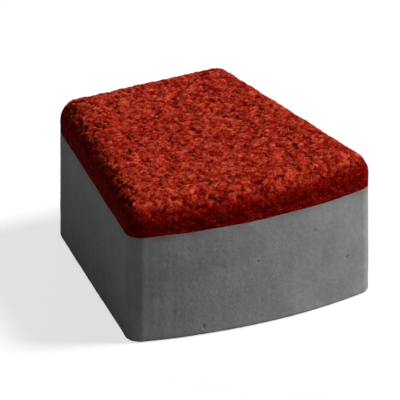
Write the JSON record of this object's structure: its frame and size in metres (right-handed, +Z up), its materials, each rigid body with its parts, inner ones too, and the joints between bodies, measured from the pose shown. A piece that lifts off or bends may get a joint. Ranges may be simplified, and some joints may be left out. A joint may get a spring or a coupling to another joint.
{
  "type": "concrete paving block",
  "caption": "Tapered concrete paving block for paving laid in rings, grey base with a red face layer, bowed wide end, rounded top edges.",
  "frame": {"origin": "centre of the underside's bounding box, on the bedding", "axes": "+Z up through the red face, +Y towards the narrow end and so to the centre of the ring, X across the block"},
  "size_m": [0.1042, 0.106, 0.06],
  "materials": {
    "base_concrete": "matte",
    "face_concrete": "matte"
  },
  "bodies": {
    "root": {"base_block": "base_concrete", "face_layer": "face_concrete"}
  },
  "joints": []
}
